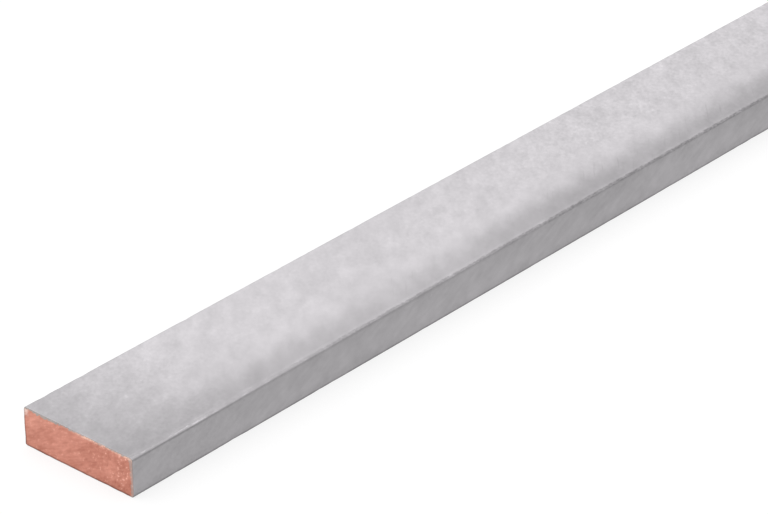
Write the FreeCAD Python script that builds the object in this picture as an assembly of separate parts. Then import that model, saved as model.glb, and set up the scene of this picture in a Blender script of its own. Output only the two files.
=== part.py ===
"""Flat copper busbar, tin plated and cut to stock length.

One piece of drawn rectangular bar, lying on a wide face. The drawing die leaves its four
long edges rounded. Both ends are sawn square and lightly deburred.

Frame: millimetres, +X along the length, +Y across the width, +Z up through the thickness.
The origin is at the centre of the bottom wide face.
"""
import FreeCAD
import Part

import os

# Driving dimensions
bar_length = 1000.0
bar_width = 10.0
bar_thickness = 3.0
long_edge_radius = 0.2
cut_edge_break = 0.1


def runs_along(edge):
    """Whether an edge goes from one cut end to the other."""
    return edge.BoundBox.XLength > bar_length / 2


def lies_on_cut(edge):
    """Whether an edge stays on one cut end."""
    return edge.BoundBox.XLength < cut_edge_break


def make_busbar():
    """The whole bar: rectangular stock with rounded long edges and deburred cut ends."""
    corner = FreeCAD.Vector(-bar_length / 2, -bar_width / 2, 0)
    stock = Part.makeBox(bar_length, bar_width, bar_thickness, corner)
    drawn = stock.makeFillet(long_edge_radius, [e for e in stock.Edges if runs_along(e)])
    return drawn.makeChamfer(cut_edge_break, [e for e in drawn.Edges if lies_on_cut(e)])


def main():
    os.makedirs("parts", exist_ok=True)
    busbar = make_busbar()
    if not busbar.isValid() or len(busbar.Solids) != 1:
        raise ValueError("the busbar isn't one valid solid")
    box = busbar.BoundBox
    print("busbar mm:", round(box.XLength, 3), round(box.YLength, 3), round(box.ZLength, 3))
    print("volume mm3:", round(busbar.Volume, 2), "faces:", len(busbar.Faces))
    busbar.exportStep("parts/busbar.step")


main()
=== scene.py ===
"""Tin-plated flat copper busbar on a pale studio floor.

The bar is one piece of drawn stock: matte tin on its long faces, bare sawn copper on its two
cut ends. Lengths are in metres. Textures and relief are laid out in millimetres, by MM.
"""
import math
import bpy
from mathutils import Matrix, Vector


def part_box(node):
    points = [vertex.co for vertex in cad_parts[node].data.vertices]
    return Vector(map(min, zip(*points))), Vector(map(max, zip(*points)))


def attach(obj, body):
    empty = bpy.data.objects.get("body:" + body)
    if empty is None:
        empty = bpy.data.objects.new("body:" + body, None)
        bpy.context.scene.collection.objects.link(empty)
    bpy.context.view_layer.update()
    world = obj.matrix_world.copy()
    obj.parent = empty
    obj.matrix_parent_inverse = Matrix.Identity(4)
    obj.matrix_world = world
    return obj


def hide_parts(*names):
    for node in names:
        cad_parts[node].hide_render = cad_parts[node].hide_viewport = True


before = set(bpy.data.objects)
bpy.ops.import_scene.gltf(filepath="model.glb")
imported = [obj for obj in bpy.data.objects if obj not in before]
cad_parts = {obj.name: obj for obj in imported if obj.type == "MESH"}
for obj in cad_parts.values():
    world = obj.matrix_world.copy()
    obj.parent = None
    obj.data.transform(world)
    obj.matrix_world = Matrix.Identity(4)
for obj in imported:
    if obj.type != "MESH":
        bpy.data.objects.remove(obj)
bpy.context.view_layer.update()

from types import SimpleNamespace

import bpy
import numpy as np
from bpy.props import FloatProperty, FloatVectorProperty, IntProperty, PointerProperty
from mathutils import Quaternion, Vector

bl_info = {
    "name": "Tinned Busbar",
    "version": (1, 0, 0),
    "blender": (4, 5, 0),
    "location": "View3D > Sidebar > Busbar",
    "description": "Builds a tin-plated flat copper busbar and the studio that it is seen in",
    "category": "Add Mesh",
}

MM = 0.001
MICRON = 0.001 * MM
NODE = "busbar"

bar_low, bar_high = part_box(NODE)
bar_size = [float(high - low) for low, high in zip(bar_low, bar_high)]


# Settings that a user may change

class BarForm(bpy.types.PropertyGroup):
    """Sizes of the bar and of the relief on it."""

    length: FloatProperty(
        name="Length", description="Cut length of the bar", default=bar_size[0], unit="LENGTH")
    width: FloatProperty(
        name="Width", description="Width across a wide face", default=bar_size[1], unit="LENGTH")
    thickness: FloatProperty(
        name="Thickness", description="Height of a narrow face", default=bar_size[2], unit="LENGTH")
    edge_radius: FloatProperty(
        name="Edge radius", description="Rounding of the four long edges", default=0.2 * MM,
        unit="LENGTH", precision=5)
    cut_break: FloatProperty(
        name="Cut edge break", description="Rounding where the cut meets the long faces",
        default=0.03 * MM, unit="LENGTH", precision=5)
    cut_recess: FloatProperty(
        name="Cut recess", description="How far the sawn face lies behind its rim",
        default=0.03 * MM, unit="LENGTH", precision=5)
    cut_relief: FloatProperty(
        name="Cut relief", description="Depth of the grain and tears on the sawn face",
        default=0.05 * MM, unit="LENGTH", precision=5)
    rim_wander: FloatProperty(
        name="Rim wander", description="How far the cut's outline wanders along the bar",
        default=0.12 * MM, unit="LENGTH", precision=5)
    edge_dents: FloatProperty(
        name="Edge dents", description="Depth of the small dents along the long edges",
        default=0.03 * MM, unit="LENGTH", precision=5)
    waviness: FloatProperty(
        name="Waviness", description="Unevenness that drawing leaves on the long faces",
        default=0.012 * MM, unit="LENGTH", precision=5)
    seed: IntProperty(name="Seed", description="Picks the pattern of dents and grain", default=4)


class TinFinish(bpy.types.PropertyGroup):
    """The matte tin plating on the long faces."""

    colour: FloatVectorProperty(
        name="Colour", description="Tin on the wide faces", subtype="COLOR", size=3,
        min=0, max=1, default=(0.704, 0.684, 0.704))
    roughness: FloatProperty(
        name="Roughness", description="Roughness of clean plating", default=0.44, min=0, max=1)
    # Painted shade: the narrow faces are made darker than the wide ones, as the light falls on them
    narrow_shade: FloatProperty(
        name="Narrow faces", description="Tone of the narrow faces against the wide ones",
        default=0.588, min=0, max=1)
    # Painted shade: the band along the front edge stands in for a darker reflection there
    band: FloatProperty(
        name="Dull band", description="How much darker the plating is along the front edge",
        default=0.31, min=0, max=1)
    # Painted shade beside a cut end
    cut_shade: FloatProperty(
        name="Near the cut", description="How much darker the plating is beside a cut end",
        default=0.2, min=0, max=1)
    clouding: FloatProperty(
        name="Clouding", description="Strength of the cloudy mottling", default=0.07, min=0, max=1)


class CopperFinish(bpy.types.PropertyGroup):
    """The bare copper of the cut ends."""

    dark_colour: FloatVectorProperty(
        name="Dark colour", description="Sawn copper where it is darkest", subtype="COLOR",
        size=3, min=0, max=1, default=(0.45, 0.162, 0.11))
    light_colour: FloatVectorProperty(
        name="Light colour", description="Sawn copper where it is lightest", subtype="COLOR",
        size=3, min=0, max=1, default=(0.88, 0.43, 0.335))
    # Painted highlight on the real burr along the rim, in the back corner and on light flecks along
    # the top
    burr_highlight_colour: FloatVectorProperty(
        name="Burr highlight colour", description="Copper torn up bright along the rim", subtype="COLOR",
        size=3, min=0, max=1, default=(0.9, 0.61, 0.49))
    # Painted highlight: a whiter one in the back corner
    corner_highlight_colour: FloatVectorProperty(
        name="Corner highlight colour", description="Copper torn pale in the back corner", subtype="COLOR",
        size=3, min=0, max=1, default=(0.88, 0.7, 0.66))
    smear_colour: FloatVectorProperty(
        name="Smear colour", description="Tin dragged over the copper by the cut",
        subtype="COLOR", size=3, min=0, max=1, default=(0.44, 0.405, 0.375))
    roughness: FloatProperty(
        name="Roughness", description="Roughness of the sawn face", default=0.5, min=0, max=1)
    speckle: FloatProperty(
        name="Speckle", description="Strength of the light and dark grains", default=0.66, min=0,
        max=1)


class Studio(bpy.types.PropertyGroup):
    """The photograph's camera, and the light."""

    lens: FloatProperty(
        name="Lens", description="Focal length in millimetres on a 36 mm sensor", default=183.07)
    azimuth: FloatProperty(
        name="Azimuth", description="Turn of the view from the bar's +X towards +Y",
        subtype="ANGLE", default=math.radians(41.42))
    elevation: FloatProperty(
        name="Elevation", description="Height of the camera above the horizon",
        subtype="ANGLE", default=math.radians(29.112))
    roll: FloatProperty(
        name="Roll", description="Turn about the view's own axis", subtype="ANGLE",
        default=math.radians(-0.211))
    distance: FloatProperty(
        name="Distance", description="From the camera to the point it looks at",
        unit="LENGTH", default=273.58 * MM)
    aim_along: FloatProperty(
        name="Aim along", description="Distance of that point from the cut end",
        unit="LENGTH", default=30.66 * MM)
    aim_across: FloatProperty(
        name="Aim across", description="Distance of that point from the bar's middle line",
        unit="LENGTH", default=0.41 * MM)
    key_power: FloatProperty(
        name="Key power", description="Power of the soft key light", unit="POWER", default=14.0)
    key_size: FloatProperty(
        name="Key size", description="Width of the soft key light", unit="LENGTH", default=2.4)
    sky: FloatProperty(
        name="Sky", description="Strength of the even light from all round", default=0.88)
    floor_tone: FloatProperty(
        name="Floor tone", description="How pale the floor is", default=0.28, min=0, max=1)
    floor_lift: FloatProperty(
        name="Floor lift", description="Light that the floor adds to its own picture",
        default=0.76, min=0, max=1)


# Writing node trees

class Term:
    """A node's output. Arithmetic on it adds Math nodes to its tree."""

    def __init__(self, wiring, socket):
        self.wiring = wiring
        self.socket = socket

    def __add__(self, other):
        return self.wiring.math("ADD", self, other)

    def __radd__(self, other):
        return self.wiring.math("ADD", other, self)

    def __sub__(self, other):
        return self.wiring.math("SUBTRACT", self, other)

    def __rsub__(self, other):
        return self.wiring.math("SUBTRACT", other, self)

    def __mul__(self, other):
        return self.wiring.math("MULTIPLY", self, other)

    def __rmul__(self, other):
        return self.wiring.math("MULTIPLY", other, self)

    def __truediv__(self, other):
        return self.wiring.math("DIVIDE", self, other)

    def __rtruediv__(self, other):
        return self.wiring.math("DIVIDE", other, self)

    def __pow__(self, other):
        return self.wiring.math("POWER", self, other)

    def __abs__(self):
        return self.wiring.math("ABSOLUTE", self)

    def __gt__(self, other):
        return self.wiring.math("GREATER_THAN", self, other)

    def __lt__(self, other):
        return self.wiring.math("LESS_THAN", self, other)


class Wiring:
    """Adds nodes to one tree. A value is a number, a tuple, a material or a Term."""

    columns = 14
    spacing = (190, -230)

    def __init__(self, tree):
        self.tree = tree

    def node(self, kind, inputs=None, **settings):
        """A new node, with its settings and its inputs by name or number."""
        made = self.tree.nodes.new(kind)
        row, column = divmod(len(self.tree.nodes), self.columns)
        made.location = (column * self.spacing[0], row * self.spacing[1])
        for name, value in settings.items():
            setattr(made, name, value)
        for key, value in (inputs or {}).items():
            self.feed(made.inputs[key], value)
        return made

    def feed(self, socket, value):
        """Sets an input, or links a Term to it."""
        if isinstance(value, Term):
            self.tree.links.new(value.socket, socket)
        else:
            socket.default_value = value

    def term(self, kind, inputs=None, output=0, **settings):
        """The same as node, giving back one of its outputs."""
        return Term(self, self.node(kind, inputs, **settings).outputs[output])

    def math(self, operation, *values):
        return self.term("ShaderNodeMath", dict(enumerate(values)), operation=operation)

    def least(self, a, b):
        return self.math("MINIMUM", a, b)

    def most(self, a, b):
        return self.math("MAXIMUM", a, b)

    def ramp(self, value, start, end):
        """A smooth step from 0 at start to 1 at end. Start may be the larger."""
        values = {"Value": value, "From Min": start, "From Max": end}
        return self.term("ShaderNodeMapRange", values, interpolation_type="SMOOTHSTEP")

    def vector(self, operation, a, b=None, output=0, scale=None):
        inputs = {0: a}
        if b is not None:
            inputs[1] = b
        if scale is not None:
            inputs["Scale"] = scale
        return self.term("ShaderNodeVectorMath", inputs, output, operation=operation)

    def combine(self, x, y, z):
        return self.term("ShaderNodeCombineXYZ", {0: x, 1: y, 2: z})

    def split(self, vector):
        parts = self.node("ShaderNodeSeparateXYZ", {0: vector})
        return [Term(self, socket) for socket in parts.outputs]

    def noise(self, vector, size, detail=2.0, roughness=0.5, seed=0.0):
        """Noise from 0 to 1 whose blotches are about as large as size."""
        return self.term("ShaderNodeTexNoise", {
            "Vector": vector, "Scale": 1 / size, "Detail": detail, "Roughness": roughness,
            "W": seed}, noise_dimensions="4D")

    def blend(self, share, a, b):
        """Colour a, with b mixed into it by share."""
        made = self.node("ShaderNodeMix", data_type="RGBA", blend_type="MIX", clamp_factor=True)
        self.feed(made.inputs[0], share)
        self.feed(made.inputs[6], a)
        self.feed(made.inputs[7], b)
        return Term(self, made.outputs[2])

    def group(self, tree, inputs):
        """A placed node group, giving its outputs by name."""
        made = self.node("ShaderNodeGroup", inputs, node_tree=tree)
        return {socket.name: Term(self, socket) for socket in made.outputs}

    def capture(self, geometry, name, domain, value):
        """Keeps a value on a mesh while its points move: (the mesh, the kept value)."""
        made = self.node("GeometryNodeCaptureAttribute", domain=domain)
        made.capture_items.new("FLOAT", name)
        self.feed(made.inputs["Geometry"], geometry)
        self.feed(made.inputs[name], value)
        return Term(self, made.outputs["Geometry"]), Term(self, made.outputs[name])


def new_group(name, kind, inputs, outputs):
    """An empty node group with named sockets: (wiring, its inputs by name, its output node)."""
    tree = bpy.data.node_groups.new(name, kind)
    for label, socket, default in inputs:
        made = tree.interface.new_socket(label, in_out="INPUT", socket_type=f"NodeSocket{socket}")
        if default is not None:
            made.default_value = default
    for label, socket in outputs:
        tree.interface.new_socket(label, in_out="OUTPUT", socket_type=f"NodeSocket{socket}")
    wiring = Wiring(tree)
    source = tree.nodes.new("NodeGroupInput")
    sink = tree.nodes.new("NodeGroupOutput")
    terms = {label: Term(wiring, source.outputs[label]) for label, _, _ in inputs}
    return wiring, terms, sink


# The bar's shape, from a box whose cells are one unit, so that a vertex's place is its grid number

# Cells in the whole box and in the rounding of an edge, and the rows by a cut that stay fine
CELLS_ALONG, CELLS_ACROSS, CELLS_UP = 1360, 64, 24
EDGE_CELLS = 4
FINE_ROWS = 6

# Past those rows one line in THINNED is kept. GRADING is the power that draws rows to the cuts
THINNED = 4
GRADING = 1.6

# Half of the grid's length, and half of the flat part's width and height
HALF_ALONG = CELLS_ALONG / 2
FLAT_ACROSS = CELLS_ACROSS / 2 - EDGE_CELLS
FLAT_UP = CELLS_UP / 2 - EDGE_CELLS

# Margins for telling grid numbers apart, and the reach past which a point is on the outline
HALF_CELL = 0.5
QUARTER_CELL = 0.25
MERGE_REACH = 0.1
OUTLINE_REACH = 0.99
LEAST_FACES = 1000

# The form tree's inputs, each with the setting that it takes
FORM_INPUTS = {key.replace("_", " ").capitalize(): key for key in BarForm.__annotations__}


def box_grid(w):
    """The gridded box. Away from the cuts, its flat faces keep one line in THINNED."""
    grid = w.term("GeometryNodeMeshCube", {
        "Size": (CELLS_ALONG, CELLS_ACROSS, CELLS_UP),
        "Vertices X": CELLS_ALONG + 1,
        "Vertices Y": CELLS_ACROSS + 1,
        "Vertices Z": CELLS_UP + 1,
    })
    along, across, up = w.split(w.term("GeometryNodeInputPosition"))
    middle = abs(along) < HALF_ALONG - FINE_ROWS + HALF_CELL

    def thinned(number, flat):
        coarse = w.math("FLOOR", (number + HALF_CELL) / THINNED) * THINNED
        moves = (abs(number) < flat + HALF_CELL) * middle
        return number + (coarse - number) * moves

    kept = w.combine(along, thinned(across, FLAT_ACROSS), thinned(up, FLAT_UP))
    moved = w.term("GeometryNodeSetPosition", {"Geometry": grid, "Position": kept})
    return w.term("GeometryNodeMergeByDistance", {"Geometry": moved, "Distance": MERGE_REACH})


def grid_places(w, given):
    """Where each grid number lies on the bar: in a flat core, or on its way from the core's
    outline, at reach 0, along direction to the rounded outline, at reach 1."""
    along, across, up = w.split(w.term("GeometryNodeInputPosition"))

    # Rows close together at the cuts and further apart towards the middle
    side = w.math("SIGN", along)
    row = HALF_ALONG - abs(along)
    from_cut = (row / HALF_ALONG) ** GRADING * given["Length"] * 0.5

    radius = given["Edge radius"]
    core_across = w.least(w.most(across, -FLAT_ACROSS), FLAT_ACROSS)
    core_up = w.least(w.most(up, -FLAT_UP), FLAT_UP)
    out_across = (across - core_across) / EDGE_CELLS
    out_up = (up - core_up) / EDGE_CELLS
    reach = w.most(abs(out_across), abs(out_up))
    direction = w.vector("NORMALIZE", w.combine(0.0, out_across, out_up))
    core_y = core_across / FLAT_ACROSS * (given["Width"] * 0.5 - radius)
    core_z = core_up / FLAT_UP * (given["Thickness"] * 0.5 - radius) + given["Thickness"] * 0.5
    core = w.combine(side * (given["Length"] * 0.5 - from_cut), core_y, core_z)
    smooth = w.vector("ADD", core, w.vector("SCALE", direction, scale=reach * radius))
    return SimpleNamespace(
        side=side, row=row, from_cut=from_cut, radius=radius, out_across=out_across,
        out_up=out_up, reach=reach, direction=direction, core_y=core_y, core_z=core_z, core=core,
        point=w.vector("SCALE", smooth, scale=1 / MM))


def drawn_in(w, given, at):
    """How far the long faces draw in: the cut's broken edge, the drawing's waves, small dents."""
    near = w.most(1 - at.from_cut / given["Cut break"], 0.0)
    broken = given["Cut break"] * (1 - w.math("SQRT", w.most(1 - near * near, 0.0)))
    stretched = w.vector("MULTIPLY", at.point, (0.25, 1.0, 1.0))
    waves = given["Waviness"] * w.noise(stretched, size=4.0, seed=given["Seed"])
    corner = w.least(abs(at.out_across) * abs(at.out_up) * 2.5, 1.0)
    dents = w.noise(at.point, size=1.4, detail=3.0, seed=given["Seed"] + 3.0)
    return broken + waves + corner * w.ramp(dents, 0.52, 0.78) * given["Edge dents"]


def drawn_back(w, given, at):
    """How far a cut lies back: the sawn face behind its rim, with torn grain on it, and an outline
    that wanders a little and takes the first rows with it."""
    grain = w.noise(at.point, size=0.45, detail=3.0, roughness=0.6, seed=given["Seed"] + 7.0)
    sawn = w.vector("MULTIPLY", at.point, (1.0, 0.35, 1.6))
    saw = w.noise(sawn, size=0.9, seed=given["Seed"] + 9.0)
    inside = 1 - at.reach ** 3.0
    torn = given["Cut relief"] * (0.3 + 0.7 * inside) * (grain * 0.6 + saw * 0.4)
    sunk = (at.row < HALF_CELL) * (given["Cut recess"] * inside + torn)
    outline = w.combine(at.side * 5.0, at.core_y / MM + at.out_across, at.core_z / MM + at.out_up)
    wander = w.noise(outline, size=0.8, detail=3.0, seed=given["Seed"] + 11.0)
    return sunk + given["Rim wander"] * wander * w.ramp(at.from_cut / MM, 0.5, 0.0)


def form_tree():
    """Geometry Nodes for the bar: a gridded box, its cells graded towards the cuts, its long edges
    rounded, and relief laid on its edges and its sawn ends."""
    inputs = [(label, "Float", None) for label in FORM_INPUTS]
    inputs += [("Tin", "Material", None), ("Copper", "Material", None)]
    outputs = [("Geometry", "Geometry")]
    w, given, sink = new_group("Busbar form", "GeometryNodeTree", inputs, outputs)
    at = grid_places(w, given)

    # The sawn faces and their rims are known by their place on the grid, and keep that mark
    on_cut = at.row < QUARTER_CELL
    on_rim = on_cut * (at.reach > OUTLINE_REACH)
    marked, sawn = w.capture(box_grid(w), "Sawn", "FACE", on_cut)
    marked, rim = w.capture(marked, "Rim", "EDGE", on_rim)

    outward = w.vector("SCALE", at.direction, scale=at.reach * (at.radius - drawn_in(w, given, at)))
    inward = w.combine(at.side * drawn_back(w, given, at) * -1.0, 0.0, 0.0)
    placed = w.vector("ADD", w.vector("ADD", at.core, outward), inward)
    formed = w.term("GeometryNodeSetPosition", {"Geometry": marked, "Position": placed})

    smoothed = w.term("GeometryNodeSetShadeSmooth", {"Geometry": formed}, domain="FACE")
    smoothed = w.term("GeometryNodeSetShadeSmooth", {
        "Geometry": smoothed, "Selection": rim > 0.5, "Shade Smooth": False}, domain="EDGE")
    whole = w.term("GeometryNodeRealizeInstances", {"Geometry": smoothed})
    tinned = w.term("GeometryNodeSetMaterial", {"Geometry": whole, "Material": given["Tin"]})
    finished = w.term("GeometryNodeSetMaterial", {
        "Geometry": tinned, "Selection": sawn > 0.5, "Material": given["Copper"]})
    w.feed(sink.inputs["Geometry"], finished)
    return w.tree


def grow(name, tree, values):
    """A plain mesh object that a Geometry Nodes tree makes, with the tree's inputs set by name."""
    empty_mesh = bpy.data.meshes.new(name + "_start")
    piece = bpy.data.objects.new(name, empty_mesh)
    bpy.context.scene.collection.objects.link(piece)
    modifier = piece.modifiers.new("Form", "NODES")
    modifier.node_group = tree
    for item in tree.interface.items_tree:
        if item.in_out == "INPUT":
            modifier[item.identifier] = values[item.name]
    graph = bpy.context.evaluated_depsgraph_get()
    mesh = bpy.data.meshes.new_from_object(piece.evaluated_get(graph), depsgraph=graph)
    piece.modifiers.remove(modifier)
    for index in reversed(range(len(mesh.materials))):
        if mesh.materials[index] is None:
            mesh.materials.pop(index=index)
    piece.data = mesh
    mesh.name = name
    bpy.data.meshes.remove(empty_mesh)
    return piece


# The bar unrolled for a texture: its faces in strips one above the other, then the two cuts

STRIPS = 6
STRIP_GAP = 0.6
CUT_SCALE = 2.4


def values_of(items, name, kind=np.float32, width=1):
    """One property of all items as an array, with a row for each where its width is over 1."""
    values = np.empty(len(items) * width, kind)
    items.foreach_get(name, values)
    return values.reshape(-1, width) if width > 1 else values


def unroll(mesh, length, width, thickness):
    """Writes the UV map OFBake, with every long face cut into strips and the cuts drawn larger."""
    points = values_of(mesh.vertices, "co", width=3)
    place = points[values_of(mesh.loops, "vertex_index", np.int32)] / MM
    corners = values_of(mesh.polygons, "loop_total", np.int32)
    normal = np.repeat(values_of(mesh.polygons, "normal", width=3), corners, axis=0)
    centre = np.repeat(values_of(mesh.polygons, "center", width=3), corners, axis=0) / MM
    length, width, thickness = length / MM, width / MM, thickness / MM

    steep = np.abs(normal)
    on_cut = steep[:, 0] > np.maximum(steep[:, 1], steep[:, 2])
    narrow = ~on_cut & (steep[:, 1] > steep[:, 2])
    strip_length = length / STRIPS
    strip = np.clip(np.floor((centre[:, 0] + length / 2) / strip_length), 0, STRIPS - 1)
    u = place[:, 0] + length / 2 - strip * strip_length + STRIP_GAP * 2

    # Each strip holds the top, the back, the bottom and the front, one above the other
    starts = np.cumsum([STRIP_GAP, width + STRIP_GAP, thickness + STRIP_GAP, width + STRIP_GAP])
    girth = starts[-1] + thickness + STRIP_GAP
    wide_start = np.where(normal[:, 2] > 0, starts[0], starts[2])
    narrow_start = np.where(normal[:, 1] > 0, starts[1], starts[3])
    v = strip * girth + np.where(
        narrow, narrow_start + place[:, 2], wide_start + place[:, 1] + width / 2)

    cut_shift = np.where(normal[:, 0] > 0, width * CUT_SCALE + 4 * STRIP_GAP, 2 * STRIP_GAP)
    u = np.where(on_cut, cut_shift + (place[:, 1] + width / 2) * CUT_SCALE, u)
    v = np.where(on_cut, STRIPS * girth + STRIP_GAP + place[:, 2] * CUT_SCALE, v)

    side = max(strip_length + 4 * STRIP_GAP, STRIPS * girth + thickness * CUT_SCALE + 2 * STRIP_GAP)
    layer = mesh.uv_layers.new(name="OFBake")
    layer.data.foreach_set("uv", np.stack([u, v], 1).astype(np.float32).ravel() / side)


# Shared by the materials

def places_group():
    """Where a point of the bar is, in millimetres."""
    inputs = [("Position", "Vector", None), ("Length", "Float", None)]
    outputs = [("Point", "Vector"), ("From cut", "Float"), ("Across", "Float"), ("Height", "Float")]
    w, given, sink = new_group("Places on the bar", "ShaderNodeTree", inputs, outputs)
    point = w.vector("SCALE", given["Position"], scale=1 / MM)
    along, across, height = w.split(point)
    w.feed(sink.inputs["Point"], point)
    w.feed(sink.inputs["From cut"], given["Length"] * (0.5 / MM) - abs(along))
    w.feed(sink.inputs["Across"], across)
    w.feed(sink.inputs["Height"], height)
    return w.tree


def mottling_group():
    """Blotches stretched along one direction. Tone is about -1 to 1."""
    inputs = [
        ("Point", "Vector", None), ("Axis", "Vector", (0.0, 0.0, 1.0)), ("Turn", "Float", 0.0),
        ("Stretch", "Vector", (1.0, 1.0, 1.0)), ("Size", "Float", 1.0), ("Seed", "Float", 0.0),
        ("Fineness", "Float", 2.0),
    ]
    w, given, sink = new_group("Mottling", "ShaderNodeTree", inputs, [("Tone", "Float")])
    turned = w.term("ShaderNodeVectorRotate", {
        "Vector": given["Point"], "Axis": given["Axis"], "Angle": given["Turn"]})
    drawn = w.vector("DIVIDE", turned, given["Stretch"])
    blotches = w.term("ShaderNodeTexNoise", {
        "Vector": w.vector("SCALE", drawn, scale=1.0 / given["Size"]), "Scale": 1.0,
        "W": given["Seed"], "Detail": given["Fineness"]}, noise_dimensions="4D")
    w.feed(sink.inputs["Tone"], (blotches - 0.5) * 4.0)
    return w.tree


def new_material(name):
    """An empty node material and its wiring."""
    material = bpy.data.materials.new(name)
    material.use_nodes = True
    material.node_tree.nodes.clear()
    return material, Wiring(material.node_tree)


def bar_places(w, form, places):
    """Where a shaded point is on the bar, and the bar's own sizes, in millimetres."""
    position = w.term("ShaderNodeTexCoord", output="Object")
    found = w.group(places, {"Position": position, "Length": form.length})
    return SimpleNamespace(
        point=found["Point"], from_cut=found["From cut"], across=found["Across"],
        height=found["Height"], half_width=form.width / MM / 2, top=form.thickness / MM,
        radius=form.edge_radius / MM)


def metal(w, colour, roughness, relief):
    """Ends a material as a bare metal. The relief is a height in metres."""
    bump = w.term("ShaderNodeBump", {"Height": relief, "Strength": 1.0, "Distance": 1.0})
    surface = w.term("ShaderNodeBsdfPrincipled", {
        "Base Color": colour, "Metallic": 1.0, "Roughness": roughness, "Normal": bump})
    w.node("ShaderNodeOutputMaterial", {"Surface": surface})


def opaque(colour):
    return (*colour, 1.0)


# The tin. The colour is multiplied by the tones, and a mask goes from 0 to 1

WIDE_SLANT = math.radians(-42)
GRAZE_SLANT = math.radians(26)


def tin_patterns(w, at, mottling):
    """The plating's patterns, about -1 to 1: slanting ones, and lengthwise dashes and short
    blotches along the bar that break up the painted edge lines.
    """

    def mottled(size, stretch, seed, fineness=2.0, turn=WIDE_SLANT, axis=(0.0, 0.0, 1.0)):
        return w.group(mottling, {
            "Point": at.point, "Axis": axis, "Turn": turn, "Stretch": (stretch, 1.0, 1.0),
            "Size": size, "Seed": seed, "Fineness": fineness})["Tone"]

    return SimpleNamespace(
        clouds=mottled(size=1.1, stretch=1.9, seed=1.0),
        drifts=mottled(size=6.0, stretch=1.6, seed=5.0),
        brushed=mottled(size=0.5, stretch=2.0, seed=7.0),
        grain=mottled(size=0.24, stretch=1.4, seed=9.0),
        streaks=mottled(size=0.22, stretch=16.0, seed=14.0, fineness=1.0),
        rubs=mottled(size=0.13, stretch=6.0, seed=21.0, turn=0.0),
        nicks=mottled(size=0.16, stretch=1.6, seed=23.0, turn=0.0),
        grazes=mottled(
            size=0.4, stretch=4.5, seed=31.0, turn=GRAZE_SLANT, axis=(0.0, 1.0, 0.0)),
    )


def shaded_front_band(w, at, tin):
    """Mask of the band along the front edge, which grows along the bar. Shade is painted in it,
    standing in for a darker reflection there, and the plating is a little rougher in it.
    """
    further = w.ramp(at.from_cut, 30.0, 48.0)
    growing = 0.4 + 0.32 * w.ramp(at.from_cut, 3.0, 14.0) + 0.28 * further
    across = at.across + tin.drifts * 0.24 + tin.clouds * 0.08 - further * 0.2
    return growing * w.ramp(across, -1.3, -4.3)


def fine_scores(w, at, tin):
    """Mask of the fine slanting scores in the front part of the wide faces."""
    scored = w.ramp(tin.streaks, 0.5, 1.1) * w.ramp(at.across + tin.clouds * 0.5, -1.6, -2.6)
    return scored * w.ramp(tin.drifts + at.from_cut * 0.01, 0.0, 0.5)


def shade_beside_cut(w, at, tin, finish):
    """Painted shade beside a cut: darker straight across the bar, and again on a slant."""
    by_cut = w.ramp(at.from_cut + tin.clouds * 0.6, 12.0, -3.0)
    slanted = at.from_cut + at.across * 1.1 + tin.drifts * 1.2 + tin.clouds * 0.8
    return (1 - by_cut * finish.cut_shade) * (1 - w.ramp(slanted, 18.0, -2.0) * 0.12)


def tin_mottle(w, at, tin, finish):
    """Tone of the clouds, flakes and grain. They are faint in the front part of a wide face, grow
    along the bar, and are finer beside a cut."""
    back_part = w.ramp(at.across + tin.drifts * 0.8, -1.6, 1.0)
    coarse = w.most(back_part, w.ramp(at.from_cut, 12.0, 6.0) * 0.75)
    along = at.from_cut + tin.drifts * 6.0
    growth = 1 + 0.35 * w.ramp(along, 26.0, 46.0) + 0.35 * w.ramp(along, 42.0, 58.0)
    by_edge = w.most(w.ramp(at.height, at.top - 0.9, at.top - 0.3), w.ramp(at.height, 0.9, 0.3))
    patchy = (0.54 + 0.46 * coarse) * growth * tin.wide + tin.narrow * (0.66 + by_edge * 0.36)

    end_part = w.ramp(at.from_cut, 14.0, 8.0)
    flakes = w.ramp(tin.brushed, -0.5, 0.5) - 0.5
    flaked = flakes * (0.03 - end_part * 0.016) + tin.brushed * 0.004
    crisp = 0.042 + end_part * 0.044 + w.ramp(at.from_cut, 40.0, 56.0) * 0.014
    speckle = (flaked + tin.grain * crisp + w.ramp(tin.grain, 0.7, 1.3) * 0.08) * patchy

    mottle = tin.clouds * (1.08 - tin.narrow * 0.08 - end_part * 0.32)
    mottle = mottle + tin.drifts * (0.36 + tin.narrow * 0.24) + tin.grazes * tin.narrow * 0.75
    return 1 + mottle * finish.clouding + speckle


def front_edge_light_and_shade(w, at, tin):
    """Tone of a painted highlight along the front edge's crest, brightest near a cut, and of a
    painted shade line just below the crest further on, both broken up by noise.
    """
    from_front = at.half_width + at.across + tin.rubs * 0.035 + tin.nicks * 0.05 + tin.drifts * 0.03
    further = 1 - tin.nearing
    # A painted highlight on the crest, strongest near a cut, and a thinner bright one at its brink
    crest = tin.upward * w.ramp(from_front, 0.55, 0.4)
    further_breaks = tin.dashes + w.ramp(tin.nicks, 0.0, 0.8)
    crest_highlight = crest * (0.04 + tin.nearing * tin.dashes * 0.08 + further * further_breaks * 0.05)
    brink_highlight = tin.upward * w.ramp(from_front, 0.2, 0.12) * tin.nearing
    brink_highlight = brink_highlight * (0.16 + tin.dashes * 0.22) * (0.85 + w.ramp(at.from_cut, 8.0, 5.5) * 0.5)

    # A painted shade line on the upper edge of the rounding, further from a cut; torn only breaks
    # it up
    on_edge = w.ramp(at.height, at.top - 0.14, at.top - 0.05)
    crest_shade = w.ramp(from_front, 0.3, 0.17) * on_edge * further
    torn = w.ramp(tin.nicks + tin.rubs * 0.6, 0.9, -0.9) * 0.9 + 0.55
    deepening = (0.17 + w.ramp(at.from_cut, 24.0, 50.0) * 0.11) * torn
    return (1 + crest_highlight + brink_highlight) * (1 - crest_shade * deepening)


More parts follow.
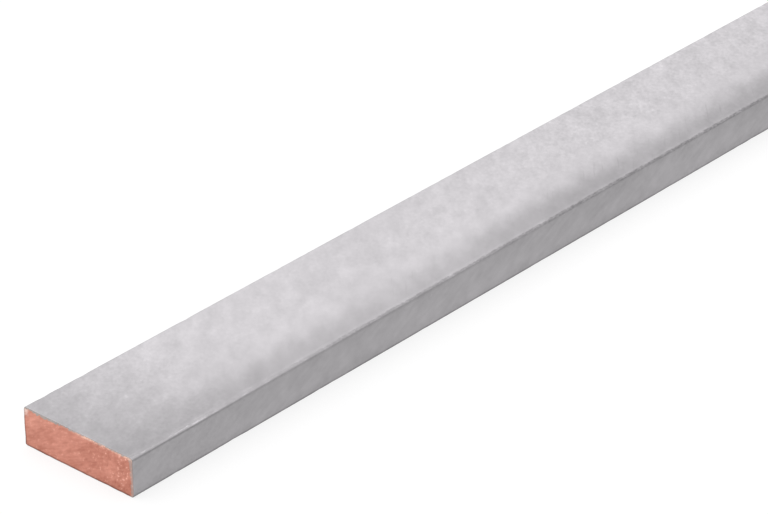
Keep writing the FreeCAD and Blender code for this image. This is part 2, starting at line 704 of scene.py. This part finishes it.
def shade_lines(w, at, tin):
    """Tone of fine painted shade lines: along the back edge, under the front one, high and low on
    the narrow faces, at their foot, and at the very cut."""
    back = w.ramp(at.across, at.half_width - 0.22, at.half_width - 0.1) * tin.upward
    under = w.ramp(at.height + tin.nicks * 0.04, at.top - 0.3, at.top - 0.17)
    under = under * tin.narrow * (1 - tin.upward)
    under_depth = w.ramp(at.from_cut, 42.0, 30.0) * 0.08 + w.ramp(at.from_cut, 13.0, 4.0) * 0.15
    shaded = w.ramp(at.height, at.top - 0.9, at.top - 0.2) * tin.narrow * (1 - tin.nearing)
    low = w.ramp(at.height, 1.0, 0.3) * tin.narrow
    foot = w.ramp(at.height, 0.3, 0.14) * tin.narrow
    tone = (1 - back * (0.34 - tin.dashes * 0.5)) * (1 - under * under_depth)
    tone = tone * (1 - shaded * 0.035) * (1 - low * 0.05) * (1 - foot * (0.48 - tin.dashes * 0.25))
    # Painted shade at the very cut, over the lamp's highlight on the broken edge
    return tone * (1 - w.ramp(at.from_cut, 0.12, 0.04) * 0.3)


def tin_material(finish, form, places, mottling):
    """Matte tin plating: cloudy, with painted shade in a band by the front edge, beside the cuts,
    on the narrow faces and in fine lines, and a painted highlight along the front edge.
    """
    material, w = new_material("Matte Tin")
    at = bar_places(w, form, places)
    tin = tin_patterns(w, at, mottling)

    # Masks of the narrow and the wide faces, of what faces up, of what is near a cut, and of dashes
    # that break up the painted highlight and shade lines
    tin.narrow = w.ramp(
        abs(at.across), at.half_width - 0.45 * at.radius, at.half_width - 0.1 * at.radius)
    tin.wide = 1 - tin.narrow
    tin.upward = w.ramp(at.height, at.top - 0.75 * at.radius, at.top - 0.35 * at.radius)
    tin.nearing = w.ramp(at.from_cut + tin.drifts * 3.0 + tin.clouds * 2.0, 26.0, 5.0)
    tin.dashes = w.ramp(tin.rubs + tin.clouds * 0.3, 0.1, 0.8)

    band = shaded_front_band(w, at, tin)
    scored = fine_scores(w, at, tin)
    # Painted shade on the wide faces: in the front band and beside the cuts
    wide_tone = (1 - band * finish.band) * (1 - scored * 0.08) * shade_beside_cut(w, at, tin, finish)
    # Painted shade: the narrow faces darker than the wide ones, and darker towards the top
    narrow_shade = finish.narrow_shade * (1 - w.ramp(at.height, 0.5, 2.6) * 0.08)
    tone = wide_tone * tin.wide + narrow_shade * tin.narrow
    tone = tone * tin_mottle(w, at, tin, finish) * front_edge_light_and_shade(w, at, tin) * shade_lines(w, at, tin)
    colour = w.vector("SCALE", tuple(finish.colour), scale=tone)

    dull = band * tin.wide * 0.06 + tin.narrow * 0.04 + tin.grain * 0.02 + tin.clouds * 0.02
    relief = tin.grain * 1.2 + tin.brushed * 1.5 + tin.clouds * 2.0 + scored * 2.0
    metal(w, colour, finish.roughness + dull, relief * MICRON)
    return material


# The copper

def copper_patterns(w, at, mottling):
    """The sawn face's patterns, about -1 to 1, each leaning its own way."""

    def mottled(size, stretch, seed, degrees, fineness=2.0):
        return w.group(mottling, {
            "Point": at.point, "Axis": (1.0, 0.0, 0.0), "Turn": math.radians(degrees),
            "Stretch": (1.0, stretch, 1.0), "Size": size, "Seed": seed,
            "Fineness": fineness})["Tone"]

    return SimpleNamespace(
        patches=mottled(size=1.3, stretch=2.0, seed=2.0, degrees=28),
        streaks=mottled(size=0.42, stretch=4.0, seed=6.0, degrees=27),
        combed=mottled(size=0.19, stretch=3.6, seed=9.0, degrees=26, fineness=1.0),
        tears=mottled(size=0.26, stretch=1.6, seed=8.0, degrees=68),
        flecks=mottled(size=0.16, stretch=1.3, seed=11.0, degrees=40),
        edge_wave=mottled(size=0.6, stretch=2.0, seed=17.0, degrees=0, fineness=3.0),
    )


def bare_copper(w, at, cut, finish):
    """Colour of the copper: patches, streaks and grains; a painted highlight on the burr along the
    top, on light flecks there and in the back corner; painted shade towards the bottom and at the
    foot, and a dark rim along the back."""
    share = 0.4 + cut.patches * 0.19 + cut.streaks * (0.12 - cut.front * 0.05)
    share = share + cut.combed * (0.175 - cut.front * 0.075) + cut.tears * cut.rough * 0.15
    share = share + cut.speckle * cut.rough * finish.speckle
    # Painted shade towards the bottom of the cut; lighter towards the back
    share = share - w.ramp(at.height, 1.6, 0.3) * 0.08 + w.ramp(at.across, -1.0, 3.0) * 0.06
    bare = w.blend(share, opaque(finish.dark_colour), opaque(finish.light_colour))
    # Painted highlights where the burr and the corner catch the lamp and on light flecks along the
    # top, mixed with the light grains
    bright = w.most(w.most(cut.lit, cut.bits), cut.speckle * cut.rough * 0.4)
    bare = w.blend(bright, bare, opaque(finish.burr_highlight_colour))
    # A whiter painted highlight in the back corner
    corner_highlight = cut.corner * w.ramp(cut.flecks + cut.edge_wave * 0.5, -1.0, 0.4) * 0.6
    bare = w.blend(corner_highlight, bare, opaque(finish.corner_highlight_colour))

    # Painted shade at the foot, and a dark rim along the back edge, darkest low down
    back_rim = w.ramp(at.half_width - at.across, 0.15, 0.04)
    back_rim = back_rim * (0.6 + w.ramp(at.height, 1.6, 0.2) * 0.5)
    foot_shade_and_back_rim = w.most(w.ramp(at.height, 0.16, 0.05), back_rim)
    return w.vector("SCALE", bare, scale=1 - foot_shade_and_back_rim * 0.48)


def tin_smear(w, at, cut):
    """Mask of the tin that the cut dragged over the rim, furthest at the top of the back half."""
    drag = 0.1 + w.ramp(at.across + cut.edge_wave * 0.8, -0.5, 2.2) * 0.12
    ragged = cut.below_top + cut.edge_wave * 0.1 + cut.flecks * 0.14
    over_top = w.ramp(ragged - drag, 0.05, -0.03)
    over_top = over_top * (1 - w.most(cut.lit * 0.5, cut.bits * 0.85))
    front_drag = 0.27 + w.ramp(at.height, 1.2, 2.6) * 0.1
    from_front = at.half_width + at.across + cut.edge_wave * 0.12 + cut.flecks * 0.06
    return w.most(over_top, w.ramp(from_front - front_drag, 0.06, -0.06) * 0.64)


def copper_material(finish, form, places, mottling):
    """Bare sawn copper: grain and torn flecks, with tin dragged over its outline, painted
    highlights along its top and in its back corner, and painted shade low down.
    """
    material, w = new_material("Sawn Copper")
    at = bar_places(w, form, places)
    cut = copper_patterns(w, at, mottling)

    # The front part is rougher and more speckled
    cut.front = w.ramp(at.across + cut.patches * 0.5, -0.5, -3.0)
    cut.rough = 0.35 + cut.front * 0.65
    grains = cut.flecks + cut.tears * 0.5 + cut.combed * 0.3
    cut.speckle = w.ramp(grains, 0.3, 1.4) - w.ramp(grains, -0.4, -1.5) * 0.5 * cut.front

    # Masks of the back corner, of the burr along the top's front half, of what catches the light in
    # both and so gets a painted highlight, and of light flecks along the top that get a painted
    # highlight too
    cut.below_top = at.top - at.height
    cut.corner = w.ramp(at.half_width - at.across, 0.5, 0.1) * w.ramp(cut.below_top, 0.9, 0.3)
    burr = w.ramp(cut.below_top + cut.flecks * 0.07, 0.34, 0.2)
    burr = burr * w.ramp(at.across + cut.edge_wave, 1.6, 0.0)
    # Noise that breaks up the painted highlight on the burr and the corner
    torn = w.ramp(cut.edge_wave * 0.4 + cut.flecks + cut.tears * 0.5, -0.8, 0.6)
    cut.lit = (burr + cut.corner) * torn
    bits = w.ramp(cut.tears + cut.flecks * 0.6, 0.75, 1.2)
    cut.bits = bits * w.ramp(cut.below_top, 0.45, 0.25)

    # The smear is painted lighter on the burr, as a highlight
    smear_tone = 1 + cut.flecks * 0.14 + burr * 0.2
    smear = w.vector("SCALE", tuple(finish.smear_colour), scale=smear_tone)
    colour = w.blend(tin_smear(w, at, cut), bare_copper(w, at, cut, finish), smear)
    roughness = finish.roughness + cut.streaks * 0.04 - cut.speckle * 0.06
    relief = cut.flecks * 5.0 + cut.streaks * 6.0 + cut.tears * 5.0
    metal(w, colour, roughness, relief * MICRON)
    return material


# The studio

FLOOR_RADIUS = 20.0
FLOOR_SIDES = 96
FLOOR_FADE = (2.5, 9.0)
FLOOR_DROP = 0.01 * MM
FLOOR_ROUGHNESS = 0.9
WHITE = (1.0, 1.0, 1.0, 1.0)
SKY_COLOUR = (1.0, 0.995, 1.0, 1.0)
KEY_AIM = Vector((-0.3, 0.0, 0.0))
KEY_OFFSET = Vector((-0.3, 1.1, 2.0))
SENSOR_WIDTH = 36.0
CAMERA_CLIP = (0.01, 200.0)


def floor_material(studio):
    """A pale floor that takes soft shadows and fades into the sky far from the bar."""
    material, w = new_material("Pale Floor")
    position = w.term("ShaderNodeTexCoord", output="Object")
    reach = w.vector("LENGTH", position, output=1)
    ray = w.node("ShaderNodeLightPath")
    kinds = ("Camera", "Glossy", "Transmission")
    seen = w.least(sum(Term(w, ray.outputs[f"Is {kind} Ray"]) for kind in kinds), 1.0)
    lit = w.term("ShaderNodeBsdfPrincipled", {
        "Base Color": opaque((studio.floor_tone,) * 3), "Roughness": FLOOR_ROUGHNESS,
        "Specular IOR Level": 0.0, "Emission Color": WHITE,
        "Emission Strength": seen * studio.floor_lift})
    clear = w.term("ShaderNodeBsdfTransparent")
    faded = w.term("ShaderNodeMixShader", {0: w.ramp(reach, *FLOOR_FADE), 1: lit, 2: clear})
    w.node("ShaderNodeOutputMaterial", {"Surface": faded})
    return material


def make_floor(studio):
    """A round floor just under the bar."""
    mesh = bpy.data.meshes.new("floor")
    turns = [2 * math.pi * step / FLOOR_SIDES for step in range(FLOOR_SIDES)]
    rim = [(FLOOR_RADIUS * math.cos(t), FLOOR_RADIUS * math.sin(t), -FLOOR_DROP) for t in turns]
    mesh.from_pydata(rim, [], [tuple(range(FLOOR_SIDES))])
    mesh.materials.append(floor_material(studio))
    floor = bpy.data.objects.new("floor", mesh)
    bpy.context.scene.collection.objects.link(floor)


def make_sky(studio):
    """An even pale sky, dimmer low in front of the bar, and white at the horizon."""
    world = bpy.data.worlds.new("Soft Studio")
    bpy.context.scene.world = world
    world.use_nodes = True
    world.node_tree.nodes.clear()
    w = Wiring(world.node_tree)
    direction = w.term("ShaderNodeTexCoord", output="Generated")
    _, north, up = w.split(direction)
    front = w.ramp(north, 0.3, -0.6) * w.ramp(up, 0.4, 0.0)
    dome = studio.sky * (1 - front * 0.45) * (1 - w.ramp(up, 0.5, 0.95) * 0.12)
    level = dome + (1 - dome) * w.ramp(up, 0.1, 0.02)
    back = w.term("ShaderNodeBackground", {"Color": SKY_COLOUR, "Strength": level})
    w.node("ShaderNodeOutputWorld", {"Surface": back})


def make_key(studio):
    """One large soft lamp behind the bar, high up."""
    lamp = bpy.data.lights.new("key", "AREA")
    lamp.shape = "DISK"
    lamp.size = studio.key_size
    lamp.energy = studio.key_power
    key = bpy.data.objects.new("key", lamp)
    key.location = KEY_AIM + KEY_OFFSET
    key.rotation_mode = "QUATERNION"
    key.rotation_quaternion = (KEY_AIM - key.location).to_track_quat("-Z", "Y")
    bpy.context.scene.collection.objects.link(key)


def make_camera(studio, length, thickness):
    """The photograph's camera."""
    data = bpy.data.cameras.new("camera")
    data.sensor_width = SENSOR_WIDTH
    data.lens = studio.lens
    data.clip_start, data.clip_end = CAMERA_CLIP
    camera = bpy.data.objects.new("camera", data)
    level = math.cos(studio.elevation)
    east, north = level * math.cos(studio.azimuth), level * math.sin(studio.azimuth)
    looking = Vector((east, north, -math.sin(studio.elevation)))
    aim = Vector((studio.aim_along - length / 2, studio.aim_across, thickness))
    camera.location = aim - looking * studio.distance
    camera.rotation_mode = "QUATERNION"
    roll = Quaternion((0.0, 0.0, 1.0), studio.roll)
    camera.rotation_quaternion = looking.to_track_quat("-Z", "Y") @ roll
    bpy.context.scene.collection.objects.link(camera)
    bpy.context.scene.camera = camera


# Operators, panel and registration

class BUSBAR_OT_studio(bpy.types.Operator):
    """Set up the floor, the light and the photograph's camera"""

    bl_idname = "busbar.studio"
    bl_label = "Studio"

    def execute(self, context):
        studio, form = context.scene.busbar_studio, context.scene.busbar_form
        context.scene.view_settings.view_transform = "Standard"
        make_camera(studio, form.length, form.thickness)
        make_sky(studio)
        make_key(studio)
        make_floor(studio)
        return {"FINISHED"}


class BUSBAR_OT_bar(bpy.types.Operator):
    """Make the tinned bar with its two sawn ends"""

    bl_idname = "busbar.bar"
    bl_label = "Tinned bar"

    def execute(self, context):
        scene = context.scene
        form = scene.busbar_form
        places, mottling = places_group(), mottling_group()
        values = {label: float(getattr(form, key)) for label, key in FORM_INPUTS.items()}
        values["Tin"] = tin_material(scene.busbar_tin, form, places, mottling)
        values["Copper"] = copper_material(scene.busbar_copper, form, places, mottling)
        bar = grow("tinned_bar", form_tree(), values)
        if len(bar.data.polygons) < LEAST_FACES or len(bar.data.materials) != 2:
            raise RuntimeError("the bar's node tree didn't give its mesh and its two metals")
        unroll(bar.data, form.length, form.width, form.thickness)
        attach(bar, "root")
        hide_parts(NODE)
        return {"FINISHED"}


STEPS = (
    (BUSBAR_OT_studio, ("busbar_studio",)),
    (BUSBAR_OT_bar, ("busbar_form", "busbar_tin", "busbar_copper")),
)


class BUSBAR_PT_panel(bpy.types.Panel):
    """Lists the settings and the steps"""

    bl_idname = "BUSBAR_PT_panel"
    bl_label = "Tinned Busbar"
    bl_space_type = "VIEW_3D"
    bl_region_type = "UI"
    bl_category = "Busbar"

    def draw(self, context):
        for step, groups in STEPS:
            box = self.layout.box()
            for group in groups:
                settings = getattr(context.scene, group)
                for key in settings.__annotations__:
                    box.prop(settings, key)
            box.operator(step.bl_idname)


SETTINGS = {
    "busbar_form": BarForm, "busbar_tin": TinFinish, "busbar_copper": CopperFinish,
    "busbar_studio": Studio,
}
CLASSES = (*SETTINGS.values(), BUSBAR_OT_studio, BUSBAR_OT_bar, BUSBAR_PT_panel)


def register():
    for made in CLASSES:
        bpy.utils.register_class(made)
    for name, group in SETTINGS.items():
        setattr(bpy.types.Scene, name, PointerProperty(type=group))


def unregister():
    for name in SETTINGS:
        delattr(bpy.types.Scene, name)
    for made in reversed(CLASSES):
        bpy.utils.unregister_class(made)


def main():
    register()
    bpy.ops.busbar.studio()
    bpy.ops.busbar.bar()


if __name__ == "__main__":
    main()
